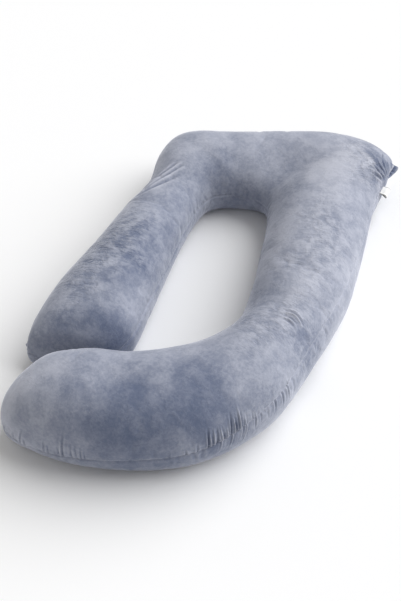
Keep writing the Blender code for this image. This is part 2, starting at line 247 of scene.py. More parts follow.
def sew_cover():
    """The cover before it is filled: rings of four-sided faces, closed across at both ends,
    with each point's distance from the seams and each panel's own flat layout."""
    places = ring_places()
    points = pinched(cover_points(places))
    around = 2 * AROUND_HALF
    faces = []
    for ring in range(RINGS - 1):
        for step in range(around):
            here = ring * around + step
            beside = ring * around + (step + 1) % around
            faces.append((here, beside, beside + around, here + around))
    for first in (0, (RINGS - 1) * around):
        for step in range(1, AROUND_HALF - 1):
            facing = first + around - step
            faces.append((first + step, first + step + 1, facing - 1, facing))
        faces.append((first, first + 1, first + around - 1))
        faces.append((first + AROUND_HALF - 1, first + AROUND_HALF, first + AROUND_HALF + 1))
    mesh = bpy.data.meshes.new("pillow_cover")
    mesh.from_pydata(points.reshape(-1, 3).tolist(), [], faces)
    made = bpy.data.objects.new("pillow_cover", mesh)
    bpy.context.scene.collection.objects.link(made)

    edges = np.linalg.norm(np.roll(points, -1, axis=1) - points, axis=2)
    reach = np.hstack([np.zeros((RINGS, 1)), np.cumsum(edges, axis=1)])
    over, whole = reach[:, AROUND_HALF, None], reach[:, -1, None]
    reach = reach[:, :-1]
    side = np.sign(np.arange(around) - AROUND_HALF) * -1.0
    side[0] = 0
    store(mesh, "out_gap", np.minimum(reach, whole - reach))
    store(mesh, "in_gap", np.abs(reach - over))
    store(mesh, "side", np.tile(side, RINGS))
    store(mesh, "place", np.repeat(places, around))
    runs = {}
    for name, track in (("out_run", points[:, 0]), ("in_run", points[:, AROUND_HALF]),
                        ("run", (points[:, 0] + points[:, AROUND_HALF]) / 2)):
        hops = np.linalg.norm(np.diff(track, axis=0), axis=1)
        runs[name] = np.concatenate([[0], np.cumsum(hops)])
        store(mesh, name, np.repeat(runs[name], around))

    layout = mesh.uv_layers.new(name="panel")
    start = np.where(np.arange(around) < AROUND_HALF, reach, reach - whole)
    end = np.hstack([start[:, 1:], np.zeros((RINGS, 1))])
    end[:, AROUND_HALF - 1] = over[:, 0]
    near, far = runs["run"][:-1, None], runs["run"][1:, None]
    flat = np.zeros((RINGS - 1, around, 4, 2))
    flat[:, :, 0:2, 0] = near[:, :, None]
    flat[:, :, 2:4, 0] = far[:, :, None]
    flat[:, :, 0, 1], flat[:, :, 1, 1] = start[:-1], end[:-1]
    flat[:, :, 2, 1], flat[:, :, 3, 1] = end[1:], start[1:]
    corners = np.zeros((len(mesh.loops), 2), np.float32)
    corners[:flat.size // 2] = flat.reshape(-1, 2)
    layout.data.foreach_set("uv", corners.ravel())
    return made


pillow = sew_cover()
select_only(pillow)
bpy.ops.object.mode_set(mode="EDIT")
bpy.ops.mesh.select_all(action="SELECT")
bpy.ops.mesh.normals_make_consistent(inside=False)
bpy.ops.object.mode_set(mode="OBJECT")
bpy.ops.object.shade_smooth()

# Filling it: polyester fibre is blown in through the gap. The velvet is a little longer
# than its seam, most of all where the seam is gathered, so the pressure of the filling
# throws it into soft folds.
FILL_FRAMES = 20
FURTHEST_MOVE = 0.012
# how the knitted velvet behaves, and by what share it grows, plain and where gathered
VELVET_CLOTH = {
    "quality": 6, "mass": 0.3, "tension_stiffness": 20, "compression_stiffness": 20,
    "shear_stiffness": 5, "bending_stiffness": 0.1, "air_damping": 3, "use_pressure": True,
    "uniform_pressure_force": 4.0, "shrink_min": -0.008, "shrink_max": -0.12,
}
GATHER_REACH = 0.050
# what doesn't move: the seam, what rests on the floor, and the cover round the ear
SEWN_GAP = 0.0001
RESTING_HEIGHT = 0.003
EAR_HOLD = 0.045

before = points_of(pillow.data)
gap = np.minimum(stored(pillow.data, "out_gap"), stored(pillow.data, "in_gap"))
gathered = np.interp(stored(pillow.data, "place"), np.arange(len(SECTIONS)),
                     [section.pucker for section in SECTIONS])
gathered *= np.exp(-(gap / GATHER_REACH) ** 2)
tied = np.linalg.norm(to_ear_line(before), axis=1) < EAR_HOLD
sewn = pillow.vertex_groups.new(name="sewn_or_resting")
ease = pillow.vertex_groups.new(name="gathered")
for index in range(len(before)):
    if gap[index] < SEWN_GAP or before[index, 2] < RESTING_HEIGHT or tied[index]:
        sewn.add([index], 1.0, "REPLACE")
    ease.add([index], float(gathered[index]), "REPLACE")
filling = pillow.modifiers.new("filling", "CLOTH")
for name, value in VELVET_CLOTH.items():
    setattr(filling.settings, name, value)
filling.settings.vertex_group_mass = sewn.name
filling.settings.vertex_group_shrink = ease.name
filling.settings.effector_weights.gravity = 0
for number in range(1, FILL_FRAMES + 1):
    bpy.context.scene.frame_set(number)
select_only(pillow)
bpy.ops.object.modifier_apply(modifier=filling.name)
move = points_of(pillow.data) - before
length = np.maximum(np.linalg.norm(move, axis=1, keepdims=True), 1e-9)
move *= FURTHEST_MOVE * np.tanh(length / FURTHEST_MOVE) / length
set_points(pillow.data, before + move)
pillow.vertex_groups.clear()
select_only(pillow)
smoother = pillow.modifiers.new("smoother", "SUBSURF")
smoother.levels = smoother.render_levels = 1
bpy.ops.object.modifier_apply(modifier=smoother.name)

# Shaping from listed values: the wide hollows where use has pressed the filling down, the sewn
# line, the puckers across it, and the sharp creases at the pinched corner, the ear and the bend.
# All of them are in the one sewn cover.
SEAM_DEPTH = 0.0030
SEAM_WIDTH = 0.0034
Hollow = namedtuple("Hollow", "name x y reach_x reach_y depth")
HOLLOWS = [Hollow(*row) for row in (
    ("head end",  0.110, 0.440, 0.110, 0.100, 0.018),
    ("right low", 0.200, -0.165, 0.080, 0.060, 0.012),
    ("foot",      -0.090, -0.530, 0.090, 0.060, 0.009),
)]
# each crease runs through three points in plan
Crease = namedtuple("Crease", "name x1 y1 x2 y2 x3 y3 half_width depth")
CREASES = [Crease(*row) for row in (
    ("corner 1", -0.266, 0.228, -0.217, 0.296, -0.192, 0.344, 0.0042, 0.0085),
    ("corner 2", -0.256, 0.208, -0.201, 0.293, -0.171, 0.332, 0.0042, 0.0075),
    ("corner 3", -0.268, 0.180, -0.208, 0.246, -0.174, 0.294, 0.0058, 0.0065),
    ("ear 1",    0.428, 0.558, 0.421, 0.574, 0.414, 0.594, 0.0035, 0.0040),
    ("ear 2",    0.424, 0.534, 0.407, 0.552, 0.397, 0.587, 0.0042, 0.0048),
    ("ear 3",    0.422, 0.520, 0.393, 0.530, 0.379, 0.570, 0.0045, 0.0046),
    ("ear 4",    0.421, 0.506, 0.393, 0.495, 0.363, 0.515, 0.0042, 0.0040),
    ("ear 5",    0.418, 0.495, 0.395, 0.471, 0.367, 0.458, 0.0045, 0.0045),
    ("ear 6",    0.318, 0.538, 0.333, 0.521, 0.347, 0.507, 0.0040, 0.0022),
    ("bend 1",   0.246, -0.203, 0.279, -0.204, 0.304, -0.229, 0.0034, 0.0030),
    ("bend rib", 0.247, -0.212, 0.279, -0.213, 0.302, -0.236, 0.0032, -0.0040),
    ("bend 2",   0.246, -0.223, 0.274, -0.225, 0.295, -0.245, 0.0034, 0.0036),
    ("bend 3",   0.248, -0.238, 0.270, -0.240, 0.288, -0.256, 0.0034, 0.0026),
)]
# a crease's line is laid in so many steps over the points that face upward more than this,
# at the height of those within a few millimetres. It fades out at both ends and is deepest
# towards its first one.
CREASE_STEPS = 60
UPWARD = 0.05
CREASE_LEVEL = 0.006
CREASE_ENDS = (0.01, 0.99)
CREASE_SWELL = 0.6
# the low ridges on either side of a trough: how many half widths away, and how high
RIDGE_AWAY = 1.9
RIDGE_SHARE = 0.45
# creases die out on the steep sides, puckers near the floor
STEEP_FADE = 3
FLOOR_FADE = 0.020
# a trough this deep is painted fully dark and a ridge this high painted light, at most so many
# times over, as painted shade and painted highlight. The sewn line gets a painted highlight too,
# and the knot looks dark.
TROUGH_FULL = 0.0040
RIDGE_FULL = 0.0012
RIDGE_MOST = 3.2
SEAM_SHINE = 0.9
KNOT_SHADE = 2


def bump_round(offset):
    """A soft trough across its middle line, with a low ridge on either side."""
    ridges = np.exp(-(np.abs(offset) - RIDGE_AWAY) ** 2)
    return np.exp(-offset ** 2) - RIDGE_SHARE * ridges


def hollow_depths(points):
    """How far the wide hollows press each point down."""
    depth = np.zeros(len(points))
    for hollow in HOLLOWS:
        away = (((points[:, 0] - CENTRE[0] - hollow.x) / hollow.reach_x) ** 2
                + ((points[:, 1] - CENTRE[1] - hollow.y) / hollow.reach_y) ** 2)
        depth += hollow.depth * np.exp(-away)
    return depth


def crease_line(crease):
    """The plan of a crease: a smooth line through its three points."""
    share = np.linspace(0, 1, CREASE_STEPS)[:, None]
    ends = np.array([[crease.x1, crease.y1], [crease.x2, crease.y2], [crease.x3, crease.y3]])
    turn = 2 * ends[1] - (ends[0] + ends[2]) / 2
    line = (1 - share) ** 2 * ends[0] + 2 * share * (1 - share) * turn + share ** 2 * ends[2]
    return line + CENTRE[:2]


def crease_depths(points, upward):
    """How deep the listed creases are at each point. Each crease lies on the cover, so
    its heights are those of the points round it that face upward."""
    depth = np.zeros(len(points))
    for crease in CREASES:
        line = crease_line(crease)
        reach = np.linalg.norm(line[-1] - line[0])
        away = np.linalg.norm(points[:, :2] - line[CREASE_STEPS // 2], axis=1)
        near = np.flatnonzero((away < reach) & upward)
        gaps = np.linalg.norm(points[near, None, :2] - line[None], axis=2)
        weights = np.exp(-(gaps / CREASE_LEVEL) ** 2)
        heights = weights.T @ points[near, 2] / weights.sum(axis=0)
        line = np.column_stack([line, heights])
        gaps = np.linalg.norm(points[near, None] - line[None], axis=2)
        closest = gaps.argmin(axis=1)
        offset = gaps[np.arange(len(gaps)), closest] / crease.half_width
        share = np.clip(closest / (CREASE_STEPS - 1), *CREASE_ENDS)
        fade = np.sin(np.pi * share ** CREASE_SWELL)
        depth[near] += crease.depth * fade * bump_round(offset)
    return depth


# puckers listed across the outer seam, above it or below: where the foot section
# bends they are deep, with sharp ridges of negative depth between, along its front long
# and fine
Pucker = namedtuple("Pucker", "place above length depth half_width lean")
BEND_PUCKERS = [Pucker(*row) for row in (
    (20.45, False, 0.026, 0.0018, 0.0034, 0.10),
    (20.62, False, 0.034, 0.0020, 0.0036, -0.10),
    (20.90, False, 0.028, 0.0014, 0.0034, 0.20),
    (21.20, False, 0.030, 0.0014, 0.0036, 0.00),
    (21.66, True,  0.018, -0.0022, 0.0024, 0.00),
    (21.68, False, 0.046, 0.0028, 0.0028, 0.05),
    (21.80, False, 0.042, 0.0028, 0.0030, 0.10),
    (21.95, False, 0.032, 0.0022, 0.0028, 0.15),
    (22.20, False, 0.024, 0.0012, 0.0024, 0.15),
    (22.28, False, 0.034, 0.0020, 0.0024, 0.20),
    (22.31, True,  0.026, -0.0024, 0.0019, 0.00),
    (22.40, False, 0.050, -0.0024, 0.0022, 0.35),
    (22.43, True,  0.039, -0.0022, 0.0021, 0.00),
    (22.45, False, 0.036, 0.0026, 0.0026, 0.30),
    (22.50, True,  0.075, -0.0048, 0.0022, 0.00),
    (22.55, True,  0.044, 0.0034, 0.0024, 0.05),
    (22.58, True,  0.062, -0.0036, 0.0020, 0.00),
    (22.60, False, 0.040, -0.0024, 0.0024, 0.30),
    (22.63, True,  0.073, 0.0040, 0.0024, -0.05),
    (22.67, True,  0.039, -0.0028, 0.0019, 0.05),
    (22.71, True,  0.034, 0.0026, 0.0024, 0.10),
    (22.74, True,  0.052, -0.0034, 0.0021, 0.10),
    (22.75, False, 0.026, -0.0022, 0.0024, 0.20),
    (22.80, True,  0.055, 0.0038, 0.0026, 0.05),
    (22.85, True,  0.057, -0.0036, 0.0021, 0.00),
    (22.89, True,  0.049, -0.0026, 0.0019, 0.10),
    (22.93, True,  0.068, 0.0040, 0.0026, 0.00),
    (23.08, True,  0.032, 0.0020, 0.0026, 0.05),
    (23.23, True,  0.028, 0.0022, 0.0024, 0.10),
    (23.46, True,  0.022, 0.0012, 0.0030, 0.00),
    (24.64, True,  0.042, 0.0020, 0.0024, 0.00),
    (24.70, True,  0.055, 0.0024, 0.0024, -0.04),
    (24.77, True,  0.062, 0.0022, 0.0024, 0.02),
    (24.86, True,  0.070, 0.0030, 0.0026, -0.02),
    (25.02, True,  0.105, 0.0038, 0.0026, -0.07),
    (25.09, True,  0.060, 0.0022, 0.0024, -0.02),
    (25.32, True,  0.050, 0.0026, 0.0026, -0.14),
    (25.40, True,  0.060, 0.0026, 0.0026, -0.10),
    (25.92, True,  0.040, 0.0042, 0.0028, -0.10),
    (26.10, True,  0.080, 0.0038, 0.0026, -0.24),
    (26.40, True,  0.050, 0.0032, 0.0028, -0.24),
    (27.10, True,  0.044, 0.0036, 0.0030, -0.35),
    (27.60, True,  0.036, 0.0030, 0.0028, -0.40),
)]


# the puckers that come by themselves: how long they are, and how much longer where the
# seam is gathered hard, how deep, how wide, how far they lean, and how unevenly they lie
SCATTER_LENGTH = (0.014, 0.030)
SCATTER_LONGER = 0.040
SCATTER_DEPTH_ABOVE = 0.0024
SCATTER_DEPTH_BELOW = 0.0015
SCATTER_HALF_WIDTH = (0.0030, 0.0052)
SCATTER_LEAN = 0.22
SCATTER_STEP = (0.4, 2.2)
# the seed of each seam's scatter and how far apart its puckers lie on the whole
OUTER_SCATTER = (3, 0.017)
INNER_SCATTER = (8, 0.020)


def scattered_puckers(seed, spacing):
    """Puckers all along a seam, on both panels, deeper where the seam is gathered."""
    dice = np.random.default_rng(seed)
    places = ring_places()
    values = sections_at(places)
    hops = np.hypot(np.diff(values[:, OUTER_X]), np.diff(values[:, OUTER_Y]))
    runs = np.concatenate([[0], np.cumsum(hops)])
    made = []
    for above, deepest in ((True, SCATTER_DEPTH_ABOVE), (False, SCATTER_DEPTH_BELOW)):
        run = 0.0
        while run < runs[-1]:
            place = np.interp(run, runs, places)
            force = np.interp(place, np.arange(len(SECTIONS)), [row.pucker for row in SECTIONS])
            length = dice.uniform(SCATTER_LENGTH[0], SCATTER_LENGTH[1] + SCATTER_LONGER * force)
            depth = force * dice.uniform(0, 1) ** 2 * deepest
            half_width = dice.uniform(*SCATTER_HALF_WIDTH)
            lean = dice.normal(0, SCATTER_LEAN)
            made.append(Pucker(place, above, length, depth, half_width, lean))
            run += spacing * dice.uniform(*SCATTER_STEP)
    return made


# a pucker is felt this many half widths aside and lengths away, is well begun at its seam
# and then dies out
PUCKER_ASIDE = 4
PUCKER_REACH = 1.3
PUCKER_BEGUN = 0.32
PUCKER_FADE = 1.2


def pucker_depths(mesh, puckers, seam):
    """How deep the puckers of the outer or the inner seam are at each point."""
    gap, run = stored(mesh, seam + "_gap"), stored(mesh, seam + "_run")
    place, side = stored(mesh, "place"), stored(mesh, "side")
    order = np.argsort(place)
    run_at = (place[order], run[order])
    depth = np.zeros(len(gap))
    for pucker in puckers:
        middle = np.interp(pucker.place, *run_at)
        wide = PUCKER_ASIDE * pucker.half_width + abs(pucker.lean) * pucker.length
        near = (np.abs(run - middle) < wide) & (gap < PUCKER_REACH * pucker.length)
        near &= (side >= 0) if pucker.above else (side <= 0)
        offset = (run[near] - middle - pucker.lean * gap[near]) / pucker.half_width
        reach = np.clip(gap[near] / pucker.length, 0, 1)
        share = PUCKER_BEGUN + (1 - PUCKER_BEGUN) * reach
        fade = np.sin(np.pi * np.clip(share, 0, 1)) ** PUCKER_FADE
        depth[near] += pucker.depth * fade * bump_round(offset)
    return depth


def divide_finer(piece, chosen, cuts):
    """Divides the faces between the chosen points of a mesh into smaller ones."""
    select_only(piece)
    bpy.ops.object.mode_set(mode="EDIT")
    bpy.ops.mesh.select_mode(type="VERT")
    bpy.ops.mesh.select_all(action="DESELECT")
    bpy.ops.object.mode_set(mode="OBJECT")
    piece.data.vertices.foreach_set("select", chosen)
    bpy.ops.object.mode_set(mode="EDIT")
    bpy.ops.mesh.subdivide(number_cuts=cuts, smoothness=1.0)
    bpy.ops.object.mode_set(mode="OBJECT")


# the mesh is divided finer where sharp puckers and creases come: at these places of the
# outer seam, so far from it, and so far beside each crease on the cover's upper side
FINER_PLACES = [(21.5, 23.6), (24.5, 27.8)]
FINER_GAP = 0.055
FINER_REACH = 0.018
FINER_ABOVE = 0.12
LINE_STRIDE = 6


def beside_creases(points):
    """Which of these points lie beside a crease, in plan, on the upper side."""
    close = np.zeros(len(points), bool)
    for crease in CREASES:
        line = crease_line(crease)[::LINE_STRIDE]
        gaps = np.linalg.norm(points[:, None, :2] - line[None], axis=2).min(axis=1)
        close |= gaps < FINER_REACH
    return close & (points[:, 2] > FINER_ABOVE)


# a small hard knot on the arm's outer side, where the seam's thread is tied off
KNOT_PLACE = 3.2
KNOT_REACH = 0.006
KNOT_RISE = 0.009
KNOT_ROUND = 3

mesh = pillow.data
place = stored(mesh, "place")
puckered = sum((place > first) & (place < last) for first, last in FINER_PLACES) > 0
divide_finer(pillow, puckered & (stored(mesh, "out_gap") < FINER_GAP), 1)
points = points_of(mesh)
knot_at = cover_points(np.array([KNOT_PLACE]))[0, 0]
by_knot = np.linalg.norm(points - knot_at, axis=1) < KNOT_ROUND * KNOT_REACH
divide_finer(pillow, beside_creases(points) | by_knot, 2)
points, normals = points_of(mesh), normals_of(mesh)
out_gap, in_gap = stored(mesh, "out_gap"), stored(mesh, "in_gap")
raised = np.clip(normals[:, 2], 0, 1)
lifted = np.clip(points[:, 2] / FLOOR_FADE, 0, 1)
folds = crease_depths(points, normals[:, 2] > UPWARD) * np.minimum(1, STEEP_FADE * raised)
folds += pucker_depths(mesh, BEND_PUCKERS + scattered_puckers(*OUTER_SCATTER), "out") * lifted
folds += pucker_depths(mesh, scattered_puckers(*INNER_SCATTER), "in") * lifted
seams = np.exp(-(out_gap / SEAM_WIDTH) ** 2) + np.exp(-(in_gap / SEAM_WIDTH) ** 2)
knot = np.exp(-(np.linalg.norm(points - knot_at, axis=1) / KNOT_REACH) ** 2)
points -= normals * (folds + SEAM_DEPTH * seams - KNOT_RISE * knot)[:, None]
points[:, 2] -= hollow_depths(points) * raised
# painted shade in the troughs and painted highlight on the ridges and along the sewn lines, with
# the knot darker, kept at each point for the velvet's colour
light_and_shade_marks = np.where(folds > 0, folds / TROUGH_FULL, folds / RIDGE_FULL)
light_and_shade_marks = np.clip(light_and_shade_marks, -RIDGE_MOST, 1) - SEAM_SHINE * seams + KNOT_SHADE * knot
store(mesh, "folded", light_and_shade_marks)
set_points(mesh, points)
select_only(pillow)
bpy.ops.object.shade_smooth()

# Strokes of velvet lighter or darker than round it, a wide soft stroke in plan each, turned by
# so many degrees. They are partly the pile's own patches and partly painted light and shade:
# painted shade on the foot's middle and front, painted shadow of the body on the arm's inner
# side (arm low inner, arm inner, arm inside), and painted light on the head's right end and the
# right limb.
Stroke = namedtuple("Stroke", "name x y long wide turn tone")
STROKES = [Stroke(*row) for row in (
    ("head corner",   -0.238, 0.385, 0.055, 0.045, 60, 0.20),
    ("head back",     -0.100, 0.530, 0.150, 0.040, 12, 0.20),
    ("head left",     -0.152, 0.400, 0.080, 0.060, 80, 0.24),
    ("head front",    -0.080, 0.345, 0.090, 0.045, 0, -0.20),
    ("head far",      0.230, 0.570, 0.130, 0.050, 10, 0.20),
    ("head right",    0.296, 0.440, 0.110, 0.080, 70, 0.58),
    ("ear",           0.386, 0.558, 0.056, 0.032, 115, -0.40),
    ("ear low",       0.380, 0.490, 0.060, 0.042, 70, -0.46),
    ("right top",     0.258, 0.250, 0.060, 0.080, 90, 0.18),
    ("right limb",    0.270, 0.060, 0.240, 0.110, 95, 0.22),
    ("right inside",  0.165, 0.070, 0.100, 0.035, 88, 0.30),
    ("right outside", 0.390, 0.060, 0.200, 0.040, 88, 0.22),
    ("right low",     0.272, -0.120, 0.060, 0.045, 80, 0.12),
    ("bend wall",     0.352, -0.250, 0.070, 0.040, 60, -0.26),
    ("bend",          0.235, -0.400, 0.110, 0.060, 50, 0.12),
    ("bend front",    0.200, -0.520, 0.060, 0.025, 40, -0.10),
    ("foot end",      -0.312, -0.560, 0.075, 0.055, 50, 0.46),
    ("foot tip",      -0.335, -0.612, 0.040, 0.035, 50, 0.30),
    ("foot middle",   0.012, -0.600, 0.170, 0.080, 8, -0.40),
    ("foot top",      0.074, -0.480, 0.090, 0.050, 25, -0.26),
    ("foot hollow",   -0.060, -0.560, 0.060, 0.035, 20, -0.20),
    ("foot left",     -0.180, -0.592, 0.055, 0.035, 80, -0.10),
    ("foot front",    -0.080, -0.665, 0.110, 0.028, 0, -0.24),
    ("foot right",    0.127, -0.540, 0.070, 0.045, 60, -0.26),
    ("arm low",       -0.282, -0.335, 0.080, 0.050, 10, -0.26),
    ("arm low inner", -0.188, -0.320, 0.060, 0.040, 80, -0.40),
    ("arm middle",    -0.252, -0.105, 0.070, 0.052, 20, -0.26),
    ("arm inner",     -0.170, -0.010, 0.110, 0.045, 85, -0.30),
    ("arm inside",    -0.195, -0.195, 0.060, 0.040, 60, -0.36),
    ("arm top",       -0.124, 0.179, 0.060, 0.040, 80, -0.10),
)]
# where the cover is slack and its pile crushed into ripples, and how strongly
CRINKLED = [Stroke(*row) for row in (
    ("arm",        -0.265, -0.050, 0.130, 0.090, 70, 1.0),
    ("arm lower",  -0.280, -0.230, 0.080, 0.060, 70, 0.5),
    ("right limb", 0.290, 0.080, 0.200, 0.080, 90, 0.55),
    ("ear",        0.356, 0.506, 0.100, 0.080, 90, 1.0),
    ("bend",       0.240, -0.250, 0.120, 0.080, 50, 0.5),
)]
# a stroke's edge wanders by so much, in one long wave and a shorter slanting one
WOBBLE = 0.016
SHORT_WAVE = 0.6
STROKE_EDGE = 1.3
Wave = namedtuple("Wave", "long start short slant")
WAVE_X = Wave(31, 2, 67, 41)
WAVE_Y = Wave(37, 1, 59, -47)


def wandered(along, across, wave):
    """Places along one way, shifted by waves that run across it."""
    shift = np.sin(wave.long * across + wave.start)
    shift += SHORT_WAVE * np.sin(wave.short * across + wave.slant * along)
    return along + WOBBLE * shift


def brushed(points, strokes):
    """How strongly these strokes mark each point, with soft uneven edges."""
    x, y = (points - CENTRE)[:, 0], (points - CENTRE)[:, 1]
    wave_x, wave_y = wandered(x, y, WAVE_X), wandered(y, x, WAVE_Y)
    total = np.zeros(len(points))
    for stroke in strokes:
        turn = math.radians(stroke.turn)
        aside, ahead = wave_x - stroke.x, wave_y - stroke.y
        along = (aside * math.cos(turn) + ahead * math.sin(turn)) / stroke.long
        across = (ahead * math.cos(turn) - aside * math.sin(turn)) / stroke.wide
        total += stroke.tone * np.exp(-(along ** 2 + across ** 2) ** STROKE_EDGE)
    return total


# each point's stroke tone, the pile's own patches with painted light and shade, kept for the
# velvet's colour
store(mesh, "brushed", brushed(points, STROKES))
store(mesh, "crinkled", np.clip(brushed(points, CRINKLED), 0, 1))


# The corner ear: at the head's outer corner the seam is gathered hard and its two layers
# stand out unfilled as a flat flap, open at its rim, the lower layer a little longer. It is
# part of the cover.
EAR_WIDE_STEPS = 72
EAR_ROUND_STEPS = 56
# the gathers fold the flap in two waves from side to side, each with its number of folds,
# its start and its share, strongest so far out from its root and weaker in the lower layer
EAR_FOLD = 0.0030
EAR_WAVES = ((2.6, 0.1, 1.0), (4.3, 0.35, 0.8))
EAR_FOLD_OUT = 0.030
EAR_FOLD_REACH = 0.022
EAR_LOWER_HEIGHT = 0.0005
EAR_LOWER_FOLD = 0.5
# both side edges are thinner and a little shorter than the middle
EAR_THINNEST = 0.04
EAR_SHORTER = 0.10
# its tones: darker all over, a painted highlight along its upper rim and painted shade in the slot
# between the layers
EAR_TONE = -0.25
EAR_RIM_HIGHLIGHT = 0.55
EAR_SLOT_SHADE = -0.9
EAR_RIM_HEIGHTS = (0.0085, 0.0125)
EAR_RIM_OUT = 0.037
EAR_SLOT_HEIGHTS = (0.0008, 0.0085)
EAR_SLOT_OUT = 0.0475
# its own flat layout, in metres a step
EAR_SIDE_STEP = 0.001
EAR_ROUND_STEP = 0.002
# the flap from side to side: where it leaves the filling and where its lower rim lies
EAR_NEAR_ROOT = Vector((0.392, 0.528, 0.099))
EAR_FAR_ROOT = Vector((0.388, 0.622, 0.104))
EAR_NEAR_RIM = Vector((0.431, 0.548, 0.089))
EAR_FAR_RIM = Vector((0.460, 0.612, 0.091))
# the flap's outline across the layers: how far out from its root, and how high
EAR_PROFILE = [(0.000, 0.046), (0.012, 0.037), (0.024, 0.026), (0.034, 0.0165), (0.0405, 0.0120),
               (0.0425, 0.0100), (0.0410, 0.0080), (0.034, 0.0056), (0.027, 0.0030),
               (0.034, 0.0012), (0.044, 0.0016), (0.0525, 0.0008), (0.0550, -0.0018),
               (0.0530, -0.0046), (0.044, -0.0072), (0.032, -0.012), (0.016, -0.021),
               (0.000, -0.030)]
EAR_REACH = max(out for out, rise in EAR_PROFILE)
LOOP_STEPS = 24


def smooth_loop(corners, count):
    """A closed smooth line through these corners, as evenly spaced points."""
    knots = np.array(corners)
    ring = np.vstack([knots[-1], knots, knots[:2]])
    share = np.linspace(0, 1, LOOP_STEPS, endpoint=False)[:, None]
    line = []
    for number in range(len(knots)):
        before, here, after, beyond = ring[number:number + 4]
        line.append(here + 0.5 * ((after - before) * share
                                  + (2 * before - 5 * here + 4 * after - beyond) * share ** 2
                                  + (3 * here - before - 3 * after + beyond) * share ** 3))
    line = np.vstack(line + [knots[:1]])
    gone = np.concatenate([[0], np.cumsum(np.linalg.norm(np.diff(line, axis=0), axis=1))])
    places = np.linspace(0, gone[-1], count, endpoint=False)
    return np.column_stack([np.interp(places, gone, line[:, axis]) for axis in (0, 1)])


def gather_corner():
    """The flap: its layered outline carried from side to side, folded by the gathers."""
    outline = smooth_loop(EAR_PROFILE, EAR_ROUND_STEPS)
    points = []
    for number in range(EAR_WIDE_STEPS):
        across = number / (EAR_WIDE_STEPS - 1)
        root = EAR_NEAR_ROOT.lerp(EAR_FAR_ROOT, across)
        rim = EAR_NEAR_RIM.lerp(EAR_FAR_RIM, across)
        reach = (rim - root).length / EAR_REACH
        forward = (rim - root).normalized()
        sideways = (EAR_FAR_RIM - EAR_NEAR_RIM).normalized()
        upward = sideways.cross(forward) * -1
        upward = upward if upward.z > 0 else -upward
        edge = abs(2 * across - 1)
        thin = max(EAR_THINNEST, 1 - edge ** 5)
        short = 1 - EAR_SHORTER * edge ** 4
        wave = sum(share * math.sin(2 * math.pi * (folds * across + start))
                   for folds, start, share in EAR_WAVES)
        for out, rise in outline:
            gathers = math.exp(-((out - EAR_FOLD_OUT) / EAR_FOLD_REACH) ** 2) * (1 - edge ** 3)
            fold = wave * EAR_FOLD * gathers * (1 if rise > EAR_LOWER_HEIGHT else EAR_LOWER_FOLD)
            points.append(root + forward * (out * reach * short) + upward * (rise * thin + fold))
    faces = []
    for number in range(EAR_WIDE_STEPS - 1):
        for step in range(EAR_ROUND_STEPS):
            here = number * EAR_ROUND_STEPS + step
            beside = number * EAR_ROUND_STEPS + (step + 1) % EAR_ROUND_STEPS
            faces.append((here, beside, beside + EAR_ROUND_STEPS, here + EAR_ROUND_STEPS))
    last = len(points) - EAR_ROUND_STEPS
    faces.append(tuple(range(EAR_ROUND_STEPS)))
    faces.append(tuple(range(last, len(points))))
    shape = bpy.data.meshes.new("corner_ear")
    shape.from_pydata([point + Vector(CENTRE) for point in points], [], faces)
    made = bpy.data.objects.new("corner_ear", shape)
    bpy.context.scene.collection.objects.link(made)
    layout = shape.uv_layers.new(name="panel")
    for corner in shape.loops:
        number, step = divmod(corner.vertex_index, EAR_ROUND_STEPS)
        layout.data[corner.index].uv = (number * EAR_SIDE_STEP, step * EAR_ROUND_STEP)
    return made


ear = gather_corner()
far_out, height = smooth_loop(EAR_PROFILE, EAR_ROUND_STEPS).T
low, high = EAR_RIM_HEIGHTS
on_rim = (height > low) & (height < high) & (far_out > EAR_RIM_OUT)
low, high = EAR_SLOT_HEIGHTS
in_slot = (height > low) & (height < high) & (far_out < EAR_SLOT_OUT)
# a painted highlight on the upper rim and painted shade in the slot between the layers
ear_tone_and_painted_shading = np.where(on_rim, EAR_RIM_HIGHLIGHT, np.where(in_slot, EAR_SLOT_SHADE, EAR_TONE))
store(ear.data, "brushed", np.tile(ear_tone_and_painted_shading, EAR_WIDE_STEPS))
select_only(ear)
bpy.ops.object.mode_set(mode="EDIT")
bpy.ops.mesh.select_all(action="SELECT")
bpy.ops.mesh.normals_make_consistent(inside=False)
bpy.ops.object.mode_set(mode="OBJECT")
bpy.ops.object.shade_smooth()
select_only(pillow)
ear.select_set(True)
bpy.ops.object.join()


# Crushed velvet: a knitted polyester pile about 1.5 mm deep, dyed grey blue. Each patch of
# pile lies its own way, so neighbouring patches look lighter or darker. The pile scatters
# light, so it has no gloss, but edges seen along it shine softly. Its colour also carries
# painted shade and painted highlight from the folds, the strokes and the ear.
def add_node(tree, kind, settings=None, **inputs):
    """Adds a node with its settings. An input is a value, or another node's output."""
    made = tree.nodes.new(kind)
    for name, value in (settings or {}).items():
        setattr(made, name, value)
    for name, value in inputs.items():
        socket = made.inputs[name.replace("_", " ")]
        if isinstance(value, bpy.types.NodeSocket):
            tree.links.new(value, socket)
        else:
            socket.default_value = value
    return made


def srgb(code):
    """A colour from its sRGB hex code, made linear."""
    parts = [int(code[start:start + 2], 16) / 255 for start in (1, 3, 5)]
    linear = [part / 12.92 if part <= 0.04045 else ((part + 0.055) / 1.055) ** 2.4
              for part in parts]
    return (*linear, 1)


# the darkest and the lightest that the velvet is painted, its pile's patches and the painted
# shade and highlight together, and the sums of its marks that give these two
NAP_DARK = "#606A82"
NAP_LIGHT = "#BCBFCB"
NAP_RANGE = (-0.25, 1.25)
NAP_MIDDLE = 0.5
